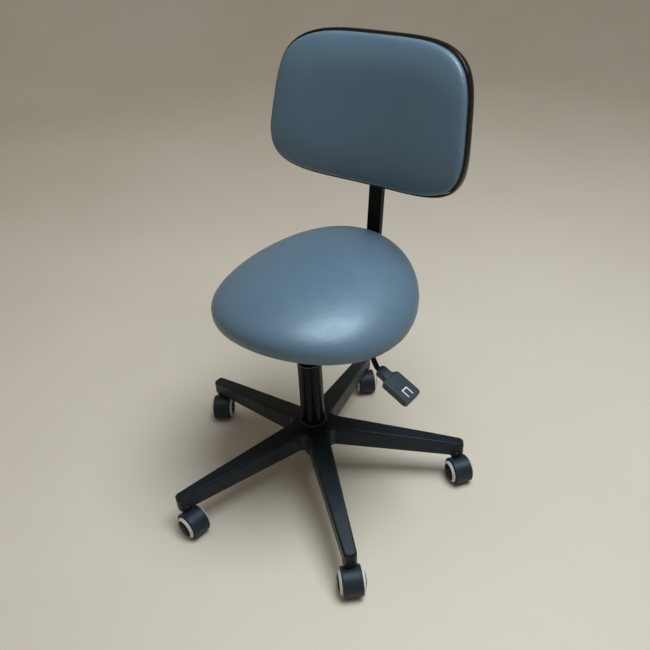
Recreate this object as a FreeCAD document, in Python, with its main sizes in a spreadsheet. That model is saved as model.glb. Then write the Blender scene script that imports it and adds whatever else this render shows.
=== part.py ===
import FreeCAD, Part
import math
import os
import re
import Sketcher
from FreeCAD import Placement, Rotation, Vector

# A practitioner chair: five-leg castor base, gas lift, saddle seat, release lever and
# a back rest that slides and tilts on a bent flat bar. Millimetres, origin on the floor
# under the column, +Z up, -Y the way the sitter faces, +X the sitter's left.

doc = FreeCAD.newDocument("practitioner_chair")
sheet = doc.addObject("Spreadsheet::Sheet", "dim")

SIZES = [
    # Clearances
    ("run_gap", 0.3, "between moving faces"),
    ("shaft_gap", 0.05, "round a turning or sliding shaft, on the radius"),
    ("seat_gap", 0.02, "round a pressed or screwed shank, on the radius"),
    ("pad_gap", 0.4, "between a soft pad and its board"),
    # Five-leg base
    ("leg_angle", 30, "direction of the first leg, degrees from +X"),
    ("leg_reach", 320, "column axis to the end of a leg"),
    ("leg_root", 24, "distance from the axis where the leg's section starts"),
    ("leg_root_top", 142, "height of the leg's top at its root"),
    ("leg_tip_top", 91, "height of the leg's top at its end"),
    ("leg_root_depth", 46, "leg height at its root"),
    ("leg_tip_depth", 31, "leg height at its end"),
    ("leg_root_flat", 38, "flat width on top at the root"),
    ("leg_tip_flat", 17, "flat width on top at the end"),
    ("leg_bevel", 4, "bevel along the leg's top edges"),
    ("leg_wall", 4.5, "wall of the hollow leg"),
    ("leg_hollow_start", 62, "where the hollow under the leg starts"),
    ("leg_hollow_stop", 36, "from its end to the leg's end"),
    ("leg_rib", 4, "rib across the hollow"),
    ("leg_end_round", 9, "rounding of the leg's end, seen from above"),
    ("leg_fillet", 15, "rounding between two legs"),
    ("hub_radius", 36, "outside of the hub"),
    ("hub_low", 81, "height of the hub's underside"),
    ("boss_radius", 14, "boss under the leg's end"),
    ("boss_low", 56.4, "height of the boss's underside"),
    ("boss_height", 12, "height of the boss"),
    ("collar_radius", 28.5, "collar round the column"),
    ("collar_height", 6, "height of that collar"),
    # Castors
    ("stem_setback", 15, "end of a leg to its castor stem"),
    ("stem_grip_radius", 5.5, "stem in the leg"),
    ("stem_grip_height", 29, "length of that"),
    ("stem_flange_radius", 8, "stem's flange"),
    ("stem_flange_height", 1, "thickness of the flange"),
    ("stem_radius", 4, "stem in the castor"),
    ("stem_low", 34, "height of the stem's lower end"),
    ("castor_trail", 20, "stem to axle, level"),
    ("wheel_radius", 26, "tread radius"),
    ("wheel_inner_face", 6.3, "castor's middle to the wheel's inner face"),
    ("wheel_outer_face", 19.5, "castor's middle to the wheel's outer face"),
    ("wheel_edge", 2.2, "rounding of the tread's edges"),
    ("cap_radius", 18.6, "domed middle of the wheel"),
    ("cap_face", 26.8, "castor's middle to the top of that dome"),
    ("cap_flat_radius", 11, "flat top of the dome"),
    ("ring_radius", 23.6, "outside of the pale ring"),
    ("ring_face", 24.6, "castor's middle to the ring's outer face"),
    ("ring_edge", 1.2, "straight edge of the ring, below its slope"),
    ("axle_radius", 3, "wheel axle"),
    ("axle_half", 22.3, "half its length"),
    ("hood_inner_radius", 27.1, "inside of the hood"),
    ("hood_wall", 2, "hood's wall"),
    ("hood_edge", 1.6, "bevel along the hood's edges"),
    ("hood_half", 19.2, "half the hood's width"),
    ("hood_web_half", 6, "half the web between the wheels"),
    ("hood_trailing_angle", -27, "where the hood ends behind, degrees from level"),
    ("hood_sweep", 212, "angle that the hood covers"),
    ("hood_axle_boss", 8, "boss round the axle"),
    ("hood_stem_boss", 9, "boss round the stem"),
    ("trail_left", -37, "rest direction of each castor, degrees from +X"),
    ("trail_rear", -47, "rear castor"),
    ("trail_right", -57, "right castor"),
    ("trail_front_right", -8, "front right castor"),
    ("trail_front_left", -47, "front left castor"),
    # Gas lift
    ("tube_radius", 25, "outside of the column tube"),
    ("tube_wall", 2.5, "its wall"),
    ("tube_low", 53, "height of its lower end"),
    ("tube_top", 298, "height of its upper end"),
    ("tube_floor", 3, "floor of the tube"),
    ("tube_taper", 0.0251, "taper in the hub, radius per length"),
    ("sleeve_length", 80, "guide sleeve"),
    ("sleeve_flange", 3, "its flange on the tube"),
    ("lift_radius", 14, "gas cylinder"),
    ("lift_wall", 1.8, "its wall"),
    ("lift_low", 130, "height of its lower end"),
    ("lift_rise", 11, "channel's underside to the cylinder's upper end"),
    ("lift_end", 10, "thickness of its ends"),
    ("socket_height", 32, "taper socket on the cylinder's upper end"),
    ("socket_wall", 5, "wall of the socket"),
    ("socket_taper", 0.0125, "taper in the socket, radius per length"),
    ("rod_radius", 5, "piston rod"),
    ("rod_neck_radius", 4, "rod in the tube's floor"),
    ("rod_low", 45, "height of the rod's lower end"),
    ("piston_low", 228, "height of the piston"),
    ("piston_height", 12, "thickness of the piston"),
    ("bearing_radius", 14, "thrust bearing under the rod's shoulder"),
    ("bearing_height", 5, "its thickness"),
    ("clip_radius", 9, "clip under the tube's floor"),
    ("clip_height", 4, "its thickness"),
    ("pin_radius", 4, "release pin on the cylinder"),
    ("pin_length", 22, "its length"),
    # Seat
    ("seat_under", 432.8, "height of the pad's underside over the column"),
    ("seat_tilt", 5.14, "seat tilt, rear up, degrees"),
    ("seat_half_width", 199, "half the seat's width"),
    ("seat_widest", 27, "where it is widest, behind the column"),
    ("seat_front", 192, "from there to the front"),
    ("seat_rear", 205, "from there to the rear"),
    ("seat_lower", 24.7, "pad below its widest line"),
    ("seat_crown", 46.1, "pad above its widest line"),
    ("saddle_drop", 36.8, "how far the sides hang, at the saddle reach"),
    ("saddle_reach", 200, "distance from the middle where that holds"),
    ("crown_power", 2.5, "roundness of the pad's upper side"),
    ("under_power", 5, "roundness of its underside"),
    ("pad_roll_width", 19.7, "where the top rolls over into the side, from the widest point"),
    ("pad_heel_width", 23.64, "where the underside starts, from the widest point"),
    ("pan_inset", 28, "pad's edge to the pan's edge"),
    ("pan_thickness", 8, "moulded seat pan"),
    ("pan_boss_depth", 14, "pad's underside to the pan's flat boss"),
    ("pan_boss_margin", 4, "boss beyond the mounting plate"),
    ("plate_half_width", 72, "mounting plate"),
    ("plate_front", 88, "plate in front of the column"),
    ("plate_rear", 108, "plate behind the column"),
    ("plate_thickness", 4, "its thickness"),
    ("plate_corner", 12, "rounding of its corners"),
    ("screw_edge", 13, "seat screws from the plate's edges"),
    ("screw_radius", 3, "seat and back screws"),
    ("screw_head_radius", 6, "their heads"),
    ("screw_head_height", 4, "height of a head"),
    ("screw_bite", 8, "depth of a screw in the pan or board"),
    # Mechanism under the seat
    ("channel_half_width", 40, "steel channel"),
    ("channel_wall", 3, "its wall"),
    ("channel_drop", 65.8, "pad's underside to the channel's, over the column"),
    ("channel_front", 45, "channel in front of the column"),
    ("channel_rear", 112, "channel behind the column"),
    ("lug_thickness", 4, "lever's pivot lugs"),
    ("lug_half_length", 7, "half a lug's length along the lever"),
    ("lug_above_pivot", 5, "lug over the pivot"),
    ("slot_width", 13, "lever's slot in the channel"),
    ("slot_height", 22, "its height"),
    # Lever
    ("lever_heading", -4.3, "lever's direction, degrees from +X"),
    ("lever_radius", 5, "lever rod"),
    ("lever_rise", 21, "channel's underside to the rod, over the column"),
    ("lever_tail", 8, "rod beyond the column's axis"),
    ("lever_pivot_at", 30, "pivot from the column's axis"),
    ("lever_pivot_radius", 2.5, "pivot pin"),
    ("lever_barrel_radius", 6.5, "barrel round the pivot"),
    ("lever_barrel_half", 6, "half its length"),
    ("lever_knee_at", 157, "upper bend from the axis"),
    ("lever_knee_drop", 6, "drop to there"),
    ("lever_elbow_at", 168, "lower bend from the axis"),
    ("lever_elbow_drop", 27, "drop to there"),
    ("lever_bend", 9, "bend radius of the rod"),
    ("paddle_droop", 24, "paddle's slope, degrees"),
    ("paddle_length", 88, "paddle"),
    ("paddle_width", 42, "its width"),
    ("paddle_neck", 19, "width of its neck"),
    ("paddle_neck_length", 27, "length of its neck"),
    ("paddle_shoulder", 4, "slope from neck to blade"),
    ("paddle_thickness", 14, "its thickness"),
    ("paddle_corner", 7, "rounding of its corners"),
    ("paddle_rim", 4, "rim round the sunk face"),
    ("paddle_sink", 1.4, "depth of the sunk face"),
    ("paddle_grip", 34, "rod inside the paddle"),
    ("paddle_setback", 4.5, "lever's elbow to the paddle's neck"),
    # Back bar
    ("bar_width", 30, "flat bar"),
    ("bar_thickness", 12, "its thickness"),
    ("bar_front_end", 42, "its front end behind the column"),
    ("bar_mark_y", 246.9, "a point on the upright's middle line"),
    ("bar_mark_z", 481.1, "height of that point"),
    ("bar_lean", 7.3, "upright's lean, degrees"),
    ("bar_bend", 46, "bend radius"),
    ("bar_beyond", 50, "bracket's middle to the bar's top"),
    ("bolt_first", 62, "first bolt behind the column"),
    ("bolt_step", 32, "to the second bolt"),
    ("bolt_radius", 4, "bar bolts"),
    ("bolt_head_radius", 6.5, "their heads"),
    ("bolt_head_height", 5, "height of a head"),
    # Bracket that slides on the bar
    ("bracket_height", 641, "height of its middle"),
    ("bracket_half_length", 35, "half its length along the bar"),
    ("bracket_side", 7.7, "its side walls"),
    ("bracket_front", 5, "its front wall"),
    ("bracket_rear", 9, "its rear wall"),
    ("bracket_corner", 4, "rounding of its corners"),
    ("hinge_ahead", 17.2, "tilt axis in front of the bar's middle"),
    ("hinge_radius", 3, "tilt pin"),
    ("hinge_lug_radius", 5.4, "lug round the tilt pin"),
    ("hinge_lug_half", 8, "half the lug's width"),
    ("hinge_ear", 5, "thickness of an ear"),
    ("hinge_ear_radius", 5.2, "ear round the tilt pin"),
    ("hinge_window", 9, "half the window in the hinge plate, up and down"),
    ("knob_radius", 19, "clamp knob"),
    ("knob_depth", 20, "its depth"),
    ("knob_scallop", 6, "radius of the finger hollows"),
    ("knob_scallops", 6, "number of finger hollows"),
    ("stud_radius", 4, "knob's stud"),
    # Back rest
    ("back_ahead", 22.384, "bar's middle line at the bracket to the front of the trim"),
    ("back_rise", 91.4, "bracket's middle to the back rest's middle"),
    ("back_lean", 11.48, "its lean, degrees"),
    ("back_half_width", 211.9, "half its width"),
    ("back_half_height", 139.5, "half its height"),
    ("back_power", 3.96, "squareness of its outline"),
    ("back_taper", -0.07, "narrowing towards the top"),
    ("back_bow", 653, "radius that it is curved to"),
    ("trim_depth", 16, "black edge trim"),
    ("trim_wall", 4, "its wall"),
    ("board_front", 4.6, "trim's front to the board"),
    ("board_thickness", 8.4, "moulded board"),
    ("cover_thickness", 3, "rear cover"),
    ("back_crown", 27, "pad in front of the trim"),
    ("back_edge", 6, "pad's edge in front of the trim"),
    ("back_roll_width", 14.47, "where its face rolls over into the side, from the widest point"),
    ("back_tuck", 1.5, "how far its rear edge is drawn in"),
    ("back_rim_gap", 1.2, "between the back pad's rim and the trim"),
    ("back_roll", 2.6, "roundness of the pad's face"),
    ("hinge_plate_thickness", 3, "hinge plate on the back rest"),
    ("hinge_plate_half_width", 30, "half its width"),
    ("hinge_plate_half_height", 32, "half its height"),
    ("hinge_plate_corner", 6, "rounding of its corners"),
    ("hinge_screw_x", 22, "back screws from the middle"),
    ("hinge_screw_z", 24, "back screws above and below the tilt axis"),
    ("hinge_screw_head", 2.2, "height of their heads"),
]

DERIVED = [
    ("leg_hollow_end", "= leg_reach - leg_hollow_stop", "column axis to the end of a leg's hollow"),
    ("stem_circle", "= leg_reach - stem_setback", "column axis to the castor stems"),
    ("channel_low", "= seat_under - channel_drop", "height of the channel's underside"),
    ("lift_top", "= channel_low + lift_rise", "height of the cylinder's upper end"),
    ("lever_height", "= channel_low + lever_rise", "height of the lever rod over the column"),
    ("bar_top", "= bracket_height + bar_beyond", "height of the bar's top"),
    ("bracket_y", "= bar_mark_y + tan(bar_lean) * (bracket_height - bar_mark_z)",
     "bar's middle line at the bracket"),
    ("back_y", "= bracket_y - back_ahead", "front of the trim at the middle"),
    ("back_z", "= bracket_height + back_rise", "height of the back rest's middle"),
]

CASTORS = ["left", "rear", "right", "front_right", "front_left"]
LEG_STEP = 360 / len(CASTORS)

for row, (alias, value, note) in enumerate(SIZES + DERIVED, start=1):
    sheet.set(f"A{row}", note)
    sheet.set(f"B{row}", str(value))
    sheet.setAlias(f"B{row}", alias)
doc.recompute()

WORDS = {alias for alias, value, note in SIZES + DERIVED}
nodes = []


def size(alias):
    return float(sheet.get(alias))


def formula(text):
    """Points every size word in a formula at its cell."""
    return re.sub(r"[a-z]\w*", lambda hit: "dim." + hit[0] if hit[0] in WORDS else hit[0], str(text))


def bind(thing, **formulas):
    for name, text in formulas.items():
        thing.setExpression(name, formula(text))
    return thing


def value_of(text):
    return float(sheet.evalExpression(str(text)))


def node(thing, label, place=None):
    """Marks an object as a finished sub-part under its own label."""
    thing.Label = label
    if place is not None:
        thing.Placement = place
    nodes.append(thing)
    return thing


def outline(body, plane, points, lift=None):
    """A closed outline on an origin plane, with both coordinates of every corner bound."""
    sketch = body.newObject("Sketcher::SketchObject", body.Name + "_outline")
    support = [part for part in body.Origin.OriginFeatures if part.Role == plane][0]
    sketch.AttachmentSupport = [(support, "")]
    sketch.MapMode = "FlatFace"
    if lift is not None:
        sketch.setExpression("AttachmentOffset.Base.z", formula(lift))
    corners = [Vector(value_of(across), value_of(up), 0) for across, up in points]
    count = len(corners)
    for index in range(count):
        sketch.addGeometry(Part.LineSegment(corners[index], corners[(index + 1) % count]), False)
    for index in range(count):
        sketch.addConstraint(Sketcher.Constraint("Coincident", index, 2, (index + 1) % count, 1))
    for index, pair in enumerate(points):
        for kind, axis, text in zip(("DistanceX", "DistanceY"), (-2, -1), pair):
            if str(text) == "0":
                sketch.addConstraint(Sketcher.Constraint("PointOnObject", index, 1, axis))
                continue
            row = sketch.addConstraint(Sketcher.Constraint(kind, -1, 1, index, 1, value_of(text)))
            sketch.setExpression(f"Constraints[{row}]", formula(text))
    return sketch


def turned(name, points):
    """A body of revolution about Z from (radius, height) corners."""
    body = doc.addObject("PartDesign::Body", name)
    sketch = outline(body, "XZ_Plane", points)
    turn = body.newObject("PartDesign::Revolution", name + "_turn")
    turn.Profile = sketch
    turn.ReferenceAxis = (sketch, ["V_Axis"])
    turn.Angle = 360
    return body


def padded(name, plane, points, length, middle=False, lift=None):
    """A straight body from an outline, to one side of its plane or to both alike."""
    body = doc.addObject("PartDesign::Body", name)
    pad = body.newObject("PartDesign::Pad", name + "_pad")
    pad.Profile = outline(body, plane, points, lift)
    pad.SideType = "Symmetric" if middle else "One side"
    bind(pad, Length=length)
    return body


def cylinder(name, radius, height, place=None):
    post = bind(doc.addObject("Part::Cylinder", name), Radius=radius, Height=height)
    if place is not None:
        post.Placement = place
    return post


def box(name, length, width, height, place=None):
    block = bind(doc.addObject("Part::Box", name), Length=length, Width=width, Height=height)
    if place is not None:
        block.Placement = place
    return block


def fused(name, pieces):
    joint = doc.addObject("Part::MultiFuse", name)
    joint.Shapes = pieces
    joint.Refine = True
    return joint


def cut(name, base, tools):
    result = doc.addObject("Part::Cut", name)
    result.Base = base
    result.Tool = tools[0] if len(tools) == 1 else fused(name + "_tools", tools)
    return result


def solid(label, shape, place=None):
    """A sub-part whose shape is worked out from the sheet's sizes."""
    return node(featured(label, shape), label, place)


def featured(name, shape):
    feature = doc.addObject("Part::Feature", name)
    feature.Shape = shape
    return feature


def at(x, y, z, axis=Vector(0, 0, 1), angle=0.0):
    return Placement(Vector(x, y, z), Rotation(axis, angle))


def rounded(body, radius, direction):
    """Rounds a body's straight edges that run along a direction."""
    doc.recompute()
    base = body.Tip
    names = []
    for index, edge in enumerate(base.Shape.Edges, start=1):
        if edge.Curve.TypeId == "Part::GeomLine" and abs(abs(edge.Curve.Direction * direction) - 1) < 1e-6:
            names.append(f"Edge{index}")
    fillet = body.newObject("PartDesign::Fillet", body.Name + "_round")
    fillet.Base = (base, names)
    bind(fillet, Radius=radius)
    return body


def bent_path(points, radius):
    """Straight runs joined by tangent arcs of one radius."""
    edges = []
    start = points[0]
    for before, corner, after in zip(points, points[1:], points[2:]):
        back = (before - corner).normalize()
        ahead = (after - corner).normalize()
        half = back.getAngle(ahead) / 2
        reach = radius / math.tan(half)
        middle = corner + (back + ahead).normalize() * (radius / math.sin(half) - radius)
        edges.append(Part.LineSegment(start, corner + back * reach).toShape())
        edges.append(Part.Arc(corner + back * reach, middle, corner + ahead * reach).toShape())
        start = corner + ahead * reach
    edges.append(Part.LineSegment(start, points[-1]).toShape())
    return Part.Wire(edges)


X_AXIS = Vector(1, 0, 0)
Y_AXIS = Vector(0, 1, 0)
Z_AXIS = Vector(0, 0, 1)
LIE_ALONG_Y = Rotation(X_AXIS, -90)
HUB_TOP = "leg_root_top"
TUBE_LOW_RADIUS = "(tube_radius - tube_taper * (leg_root_top - tube_low))"
TUBE_FLOOR_TOP = "(tube_low + tube_floor)"
BEARING_TOP = "(tube_low + tube_floor + bearing_height)"
HOOD_TOP = "(boss_low - stem_flange_height - run_gap)"
PLATE_DEPTH = "(pan_boss_depth + plate_thickness)"


def along_leg(root, tip, reach):
    """A leg's size at a distance from the column: it changes evenly from root to tip."""
    share = (reach - size("leg_root")) / (size("leg_reach") - size("leg_root"))
    return size(root) + (size(tip) - size(root)) * share


def leg_top(reach):
    return along_leg("leg_root_top", "leg_tip_top", reach)


def leg_low(reach):
    return leg_top(reach) - along_leg("leg_root_depth", "leg_tip_depth", reach)


def leg_half(reach):
    return along_leg("leg_root_flat", "leg_tip_flat", reach) / 2 + size("leg_bevel")


def star_outline():
    """The base seen from above: tapered legs with rounded ends, and hollow arcs from leg to leg."""
    half_step = math.pi / len(CASTORS)
    slope = (leg_half(size("leg_reach")) - leg_half(0)) / size("leg_reach")
    side = math.atan(slope)
    radius = size("leg_fillet")
    corner = leg_half(0) / (math.sin(half_step) - slope * math.cos(half_step))
    opening = half_step - side
    run = radius / math.tan(opening)
    hollow = corner + radius / math.sin(opening) - radius
    start_x = corner * math.cos(half_step) + run * math.cos(side)
    end_x = size("leg_reach")
    end_round = size("leg_end_round")
    turn = math.pi / 2 + side
    back = end_round * math.tan(turn / 2)
    end_half = leg_half(end_x)
    bulge_x = end_x - end_round + end_round * math.cos(turn / 2)
    bulge_y = end_half - back + end_round * math.sin(turn / 2)
    right = [(start_x, leg_half(start_x)), (end_x - back * math.cos(side), end_half - back * math.sin(side)),
             (bulge_x, bulge_y), (end_x, end_half - back)]
    edges = []
    for index in range(len(CASTORS)):
        spin = Rotation(Z_AXIS, math.degrees(2 * half_step * index))
        left_points = [spin.multVec(Vector(x, -y, 0)) for x, y in right]
        right_points = [spin.multVec(Vector(x, y, 0)) for x, y in right]
        middle = spin.multVec(Vector(hollow * math.cos(half_step), hollow * math.sin(half_step), 0))
        following = Rotation(Z_AXIS, math.degrees(2 * half_step)).multVec(left_points[0])
        edges += [Part.LineSegment(left_points[0], left_points[1]), Part.Arc(*left_points[1:]),
                  Part.LineSegment(left_points[3], right_points[3]), Part.Arc(*right_points[:0:-1]),
                  Part.LineSegment(right_points[1], right_points[0]),
                  Part.Arc(right_points[0], middle, following)]
    return Part.Wire([edge.toShape() for edge in edges])


def star_beams():
    """The outline's legs between a sloping top and a sloping underside, with a bevel round the top."""
    outline_face = Part.Face(star_outline())
    prism = outline_face.extrude(Vector(0, 0, 2 * size("leg_root_top")))
    far = size("leg_reach") + size("leg_wall")
    root = size("leg_root")
    hub = size("hub_radius")
    corners = [(0, size("hub_low")), (hub, size("hub_low")), (hub, leg_low(hub)), (far, leg_low(far)),
               (far, leg_top(far)), (root, leg_top(root)), (0, leg_top(root))]
    profile = Part.makePolygon([Vector(x, 0, z) for x, z in corners + corners[:1]])
    shape = prism.common(Part.Face(profile).revolve(Vector(), Z_AXIS, 360))
    rim = []
    for edge in shape.Edges:
        spots = [(math.hypot(spot.x, spot.y), spot.z) for spot in edge.discretize(5)]
        if all(reach > hub and abs(leg_top(reach) - z) < 0.02 for reach, z in spots):
            rim.append(edge)
    return shape.makeChamfer(size("leg_bevel"), rim)


def leg_bay(start, end):
    """A pocket under a leg, open below, with the leg's wall left round it."""
    wires = []
    for reach in (start, end):
        side = leg_half(reach) - size("leg_wall")
        roof = leg_top(reach) - size("leg_wall") - size("leg_bevel") / 2
        floor = leg_low(reach) - size("leg_wall")
        corners = [(-side, floor), (side, floor), (side, roof), (-side, roof), (-side, floor)]
        wires.append(Part.makePolygon([Vector(reach, y, z) for y, z in corners]))
    return Part.makeLoft(wires, True, True)


def star_base():
    """One moulding: five hollow, ribbed legs with stem bosses round a hub with a tapered bore."""
    shape = star_beams()
    low = Vector(size("stem_circle"), 0, size("boss_low"))
    bay = (size("leg_hollow_end") - size("leg_hollow_start") + size("leg_rib")) / 3
    adds = [Part.makeCylinder(size("boss_radius"), size("boss_height"), low)]
    cuts = [Part.makeCylinder(size("stem_grip_radius") + size("seat_gap"),
                              size("stem_grip_height") + size("run_gap"), low)]
    for index in range(3):
        start = size("leg_hollow_start") + index * bay
        cuts.append(leg_bay(start, start + bay - size("leg_rib")))
    turns = [Rotation(Z_AXIS, LEG_STEP * index) for index in range(len(CASTORS))]

    def round_the_hub(pieces):
        return [piece.transformed(Placement(Vector(), turn).toMatrix()) for turn in turns for piece in pieces]

    shape = shape.multiFuse(round_the_hub(adds))
    top = leg_top(size("leg_root"))
    taper = size("tube_taper") * (top - size("hub_low"))
    wide = size("tube_radius") + size("seat_gap")
    bore = Part.makeCone(wide - taper, wide, top - size("hub_low"), Vector(0, 0, size("hub_low")))
    shape = shape.cut(round_the_hub(cuts) + [bore])
    return solid("star_base", shape, at(0, 0, 0, Z_AXIS, size("leg_angle")))


def castor_spot(index):
    angle = math.radians(size("leg_angle") + LEG_STEP * index)
    return Vector(size("stem_circle") * math.cos(angle), size("stem_circle") * math.sin(angle), 0)


def castor_stems():
    stems = []
    for index, word in enumerate(CASTORS):
        stem = turned(f"stem_{word}", [
            ("0", "stem_low"), ("stem_radius", "stem_low"),
            ("stem_radius", "boss_low - stem_flange_height"),
            ("stem_flange_radius", "boss_low - stem_flange_height"),
            ("stem_flange_radius", "boss_low"), ("stem_grip_radius", "boss_low"),
            ("stem_grip_radius", "boss_low + stem_grip_height"), ("0", "boss_low + stem_grip_height")])
        stem.Placement = Placement(castor_spot(index), Rotation())
        stems.append(stem)
    group = doc.addObject("Part::Compound", "castor_stems")
    group.Links = stems
    return node(group, "castor_stems")


def castor_hood(word, frame):
    """A curved hood over both wheels, with a web between them and bosses for stem and axle."""
    axle_at = Vector(size("castor_trail"), 0, size("wheel_radius"))
    shell = turned(f"hood_shell_{word}", [
        ("hood_axle_boss / 2", "-hood_web_half"), ("hood_inner_radius", "-hood_web_half"),
        ("hood_inner_radius", "-hood_half"), ("hood_inner_radius + hood_wall - hood_edge", "-hood_half"),
        ("hood_inner_radius + hood_wall", "hood_edge - hood_half"),
        ("hood_inner_radius + hood_wall", "hood_half - hood_edge"),
        ("hood_inner_radius + hood_wall - hood_edge", "hood_half"), ("hood_inner_radius", "hood_half"),
        ("hood_inner_radius", "hood_web_half"), ("hood_axle_boss / 2", "hood_web_half")])
    bind(shell.Tip, Angle="hood_sweep")
    shell.Placement = Placement(axle_at, Rotation(X_AXIS, 90) * Rotation(Z_AXIS, size("hood_trailing_angle")))
    across = Placement(axle_at - Vector(0, size("hood_web_half"), 0), LIE_ALONG_Y)
    axle_boss = cylinder(f"hood_axle_boss_{word}", "hood_axle_boss", "2 * hood_web_half", across)
    stem_boss = cylinder(f"hood_stem_post_{word}", "hood_stem_boss", f"{HOOD_TOP} - wheel_radius",
                         at(0, 0, size("wheel_radius")))
    wheel_room = cylinder(f"hood_wheel_room_{word}", "hood_inner_radius", "2 * hood_half",
                          Placement(axle_at - Vector(0, size("hood_half"), 0), LIE_ALONG_Y))
    neck = cut(f"hood_neck_{word}", stem_boss, [wheel_room])
    whole = fused(f"hood_whole_{word}", [shell, axle_boss, neck])
    stem_hole = cylinder(f"hood_stem_hole_{word}", "stem_radius + shaft_gap", "boss_low - stem_low",
                         at(0, 0, size("stem_low") - size("run_gap")))
    axle_hole = cylinder(f"hood_axle_hole_{word}", "axle_radius + seat_gap", "2 * hood_half",
                         Placement(axle_at - Vector(0, size("hood_half"), 0), LIE_ALONG_Y))
    return node(cut(f"hood_{word}", whole, [stem_hole, axle_hole]), f"castor_{word}_hood", frame)


def castor_wheel(word, side, place):
    wheel = turned(f"wheel_{word}_{side}", [
        ("axle_radius + shaft_gap", "wheel_inner_face"), ("wheel_radius - wheel_edge", "wheel_inner_face"),
        ("wheel_radius", "wheel_inner_face + wheel_edge"), ("wheel_radius", "wheel_outer_face - wheel_edge"),
        ("wheel_radius - wheel_edge", "wheel_outer_face"), ("cap_radius", "wheel_outer_face"),
        ("cap_radius", "ring_face"), ("cap_flat_radius", "cap_face"), ("0", "cap_face"),
        ("0", "axle_half + run_gap"), ("axle_radius + shaft_gap", "axle_half + run_gap")])
    node(wheel, f"castor_{word}_wheel_{side}", place)
    ring = turned(f"ring_{word}_{side}", [
        ("cap_radius + seat_gap", "wheel_outer_face"), ("ring_radius", "wheel_outer_face"),
        ("ring_radius", "wheel_outer_face + ring_edge"), ("cap_radius + seat_gap", "ring_face")])
    node(ring, f"castor_{word}_ring_{side}", place)


def castors():
    for index, word in enumerate(CASTORS):
        frame = Placement(castor_spot(index), Rotation(Z_AXIS, size("trail_" + word)))
        castor_hood(word, frame)
        middle = frame * at(size("castor_trail"), 0, size("wheel_radius"))
        axle = cylinder(f"axle_{word}", "axle_radius", "2 * axle_half")
        node(axle, f"castor_{word}_axle", middle * Placement(Vector(0, -size("axle_half"), 0), LIE_ALONG_Y))
        for side, turn in ((1, -90), (2, 90)):
            castor_wheel(word, side, middle * at(0, 0, 0, X_AXIS, turn))


def gas_lift():
    node(turned("hub_collar", [
        ("tube_radius + seat_gap", HUB_TOP), ("collar_radius", HUB_TOP),
        ("collar_radius", f"{HUB_TOP} + collar_height / 2"),
        ("tube_radius + collar_height / 4", f"{HUB_TOP} + collar_height"),
        ("tube_radius + seat_gap", f"{HUB_TOP} + collar_height")]), "hub_collar")
    node(turned("column_tube", [
        ("rod_neck_radius + shaft_gap", "tube_low"), (TUBE_LOW_RADIUS, "tube_low"),
        ("tube_radius", HUB_TOP), ("tube_radius", "tube_top"), ("tube_radius - tube_wall", "tube_top"),
        ("tube_radius - tube_wall", HUB_TOP), (f"{TUBE_LOW_RADIUS} - tube_wall", TUBE_FLOOR_TOP),
        ("rod_neck_radius + shaft_gap", TUBE_FLOOR_TOP)]), "column_tube")
    node(turned("guide_sleeve", [
        ("lift_radius + shaft_gap", "tube_top - sleeve_length"),
        ("tube_radius - tube_wall - seat_gap", "tube_top - sleeve_length"),
        ("tube_radius - tube_wall - seat_gap", "tube_top"), ("tube_radius", "tube_top"),
        ("tube_radius", "tube_top + sleeve_flange"),
        ("lift_radius + shaft_gap", "tube_top + sleeve_flange")]), "guide_sleeve")
    node(turned("thrust_bearing", [
        ("rod_neck_radius + shaft_gap", TUBE_FLOOR_TOP), ("bearing_radius", TUBE_FLOOR_TOP),
        ("bearing_radius", BEARING_TOP), ("rod_neck_radius + shaft_gap", BEARING_TOP)]), "thrust_bearing")
    node(turned("rod_clip", [
        ("rod_neck_radius + seat_gap", "tube_low - run_gap - clip_height"),
        ("clip_radius", "tube_low - run_gap - clip_height"), ("clip_radius", "tube_low - run_gap"),
        ("rod_neck_radius + seat_gap", "tube_low - run_gap")]), "rod_clip")
    node(turned("piston_rod", [
        ("0", "rod_low"), ("rod_neck_radius", "rod_low"), ("rod_neck_radius", f"{BEARING_TOP} + run_gap"),
        ("rod_radius", f"{BEARING_TOP} + run_gap"), ("rod_radius", "piston_low + piston_height"),
        ("0", "piston_low + piston_height")]), "piston_rod")
    node(turned("piston", [
        ("rod_radius + seat_gap", "piston_low"), ("lift_radius - lift_wall - shaft_gap", "piston_low"),
        ("lift_radius - lift_wall - shaft_gap", "piston_low + piston_height"),
        ("rod_radius + seat_gap", "piston_low + piston_height")]), "piston")
    node(turned("gas_cylinder", [
        ("rod_radius + shaft_gap", "lift_low"), ("lift_radius", "lift_low"),
        ("lift_radius", "lift_top - socket_height"),
        ("lift_radius - socket_taper * socket_height", "lift_top"),
        ("pin_radius + shaft_gap", "lift_top"), ("pin_radius + shaft_gap", "lift_top - lift_end"),
        ("lift_radius - lift_wall", "lift_top - lift_end"), ("lift_radius - lift_wall", "lift_low + lift_end"),
        ("rod_radius + shaft_gap", "lift_low + lift_end")]), "gas_cylinder")
    pin_top = "lever_height - lever_radius - run_gap"
    node(turned("release_pin", [
        ("0", f"{pin_top} - pin_length"), ("pin_radius", f"{pin_top} - pin_length"),
        ("pin_radius", pin_top), ("0", pin_top)]), "release_pin")


def seat_frame():
    return at(0, 0, size("seat_under"), X_AXIS, size("seat_tilt"))


def arc_middle(centre, radius, first, last):
    """The point halfway along an arc, in the flat coordinates of a section."""
    x = first[0] + last[0] - 2 * centre[0]
    rise = first[1] + last[1] - 2 * centre[1]
    share = radius / math.hypot(x, rise)
    return centre[0] + x * share, centre[1] + rise * share


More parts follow.
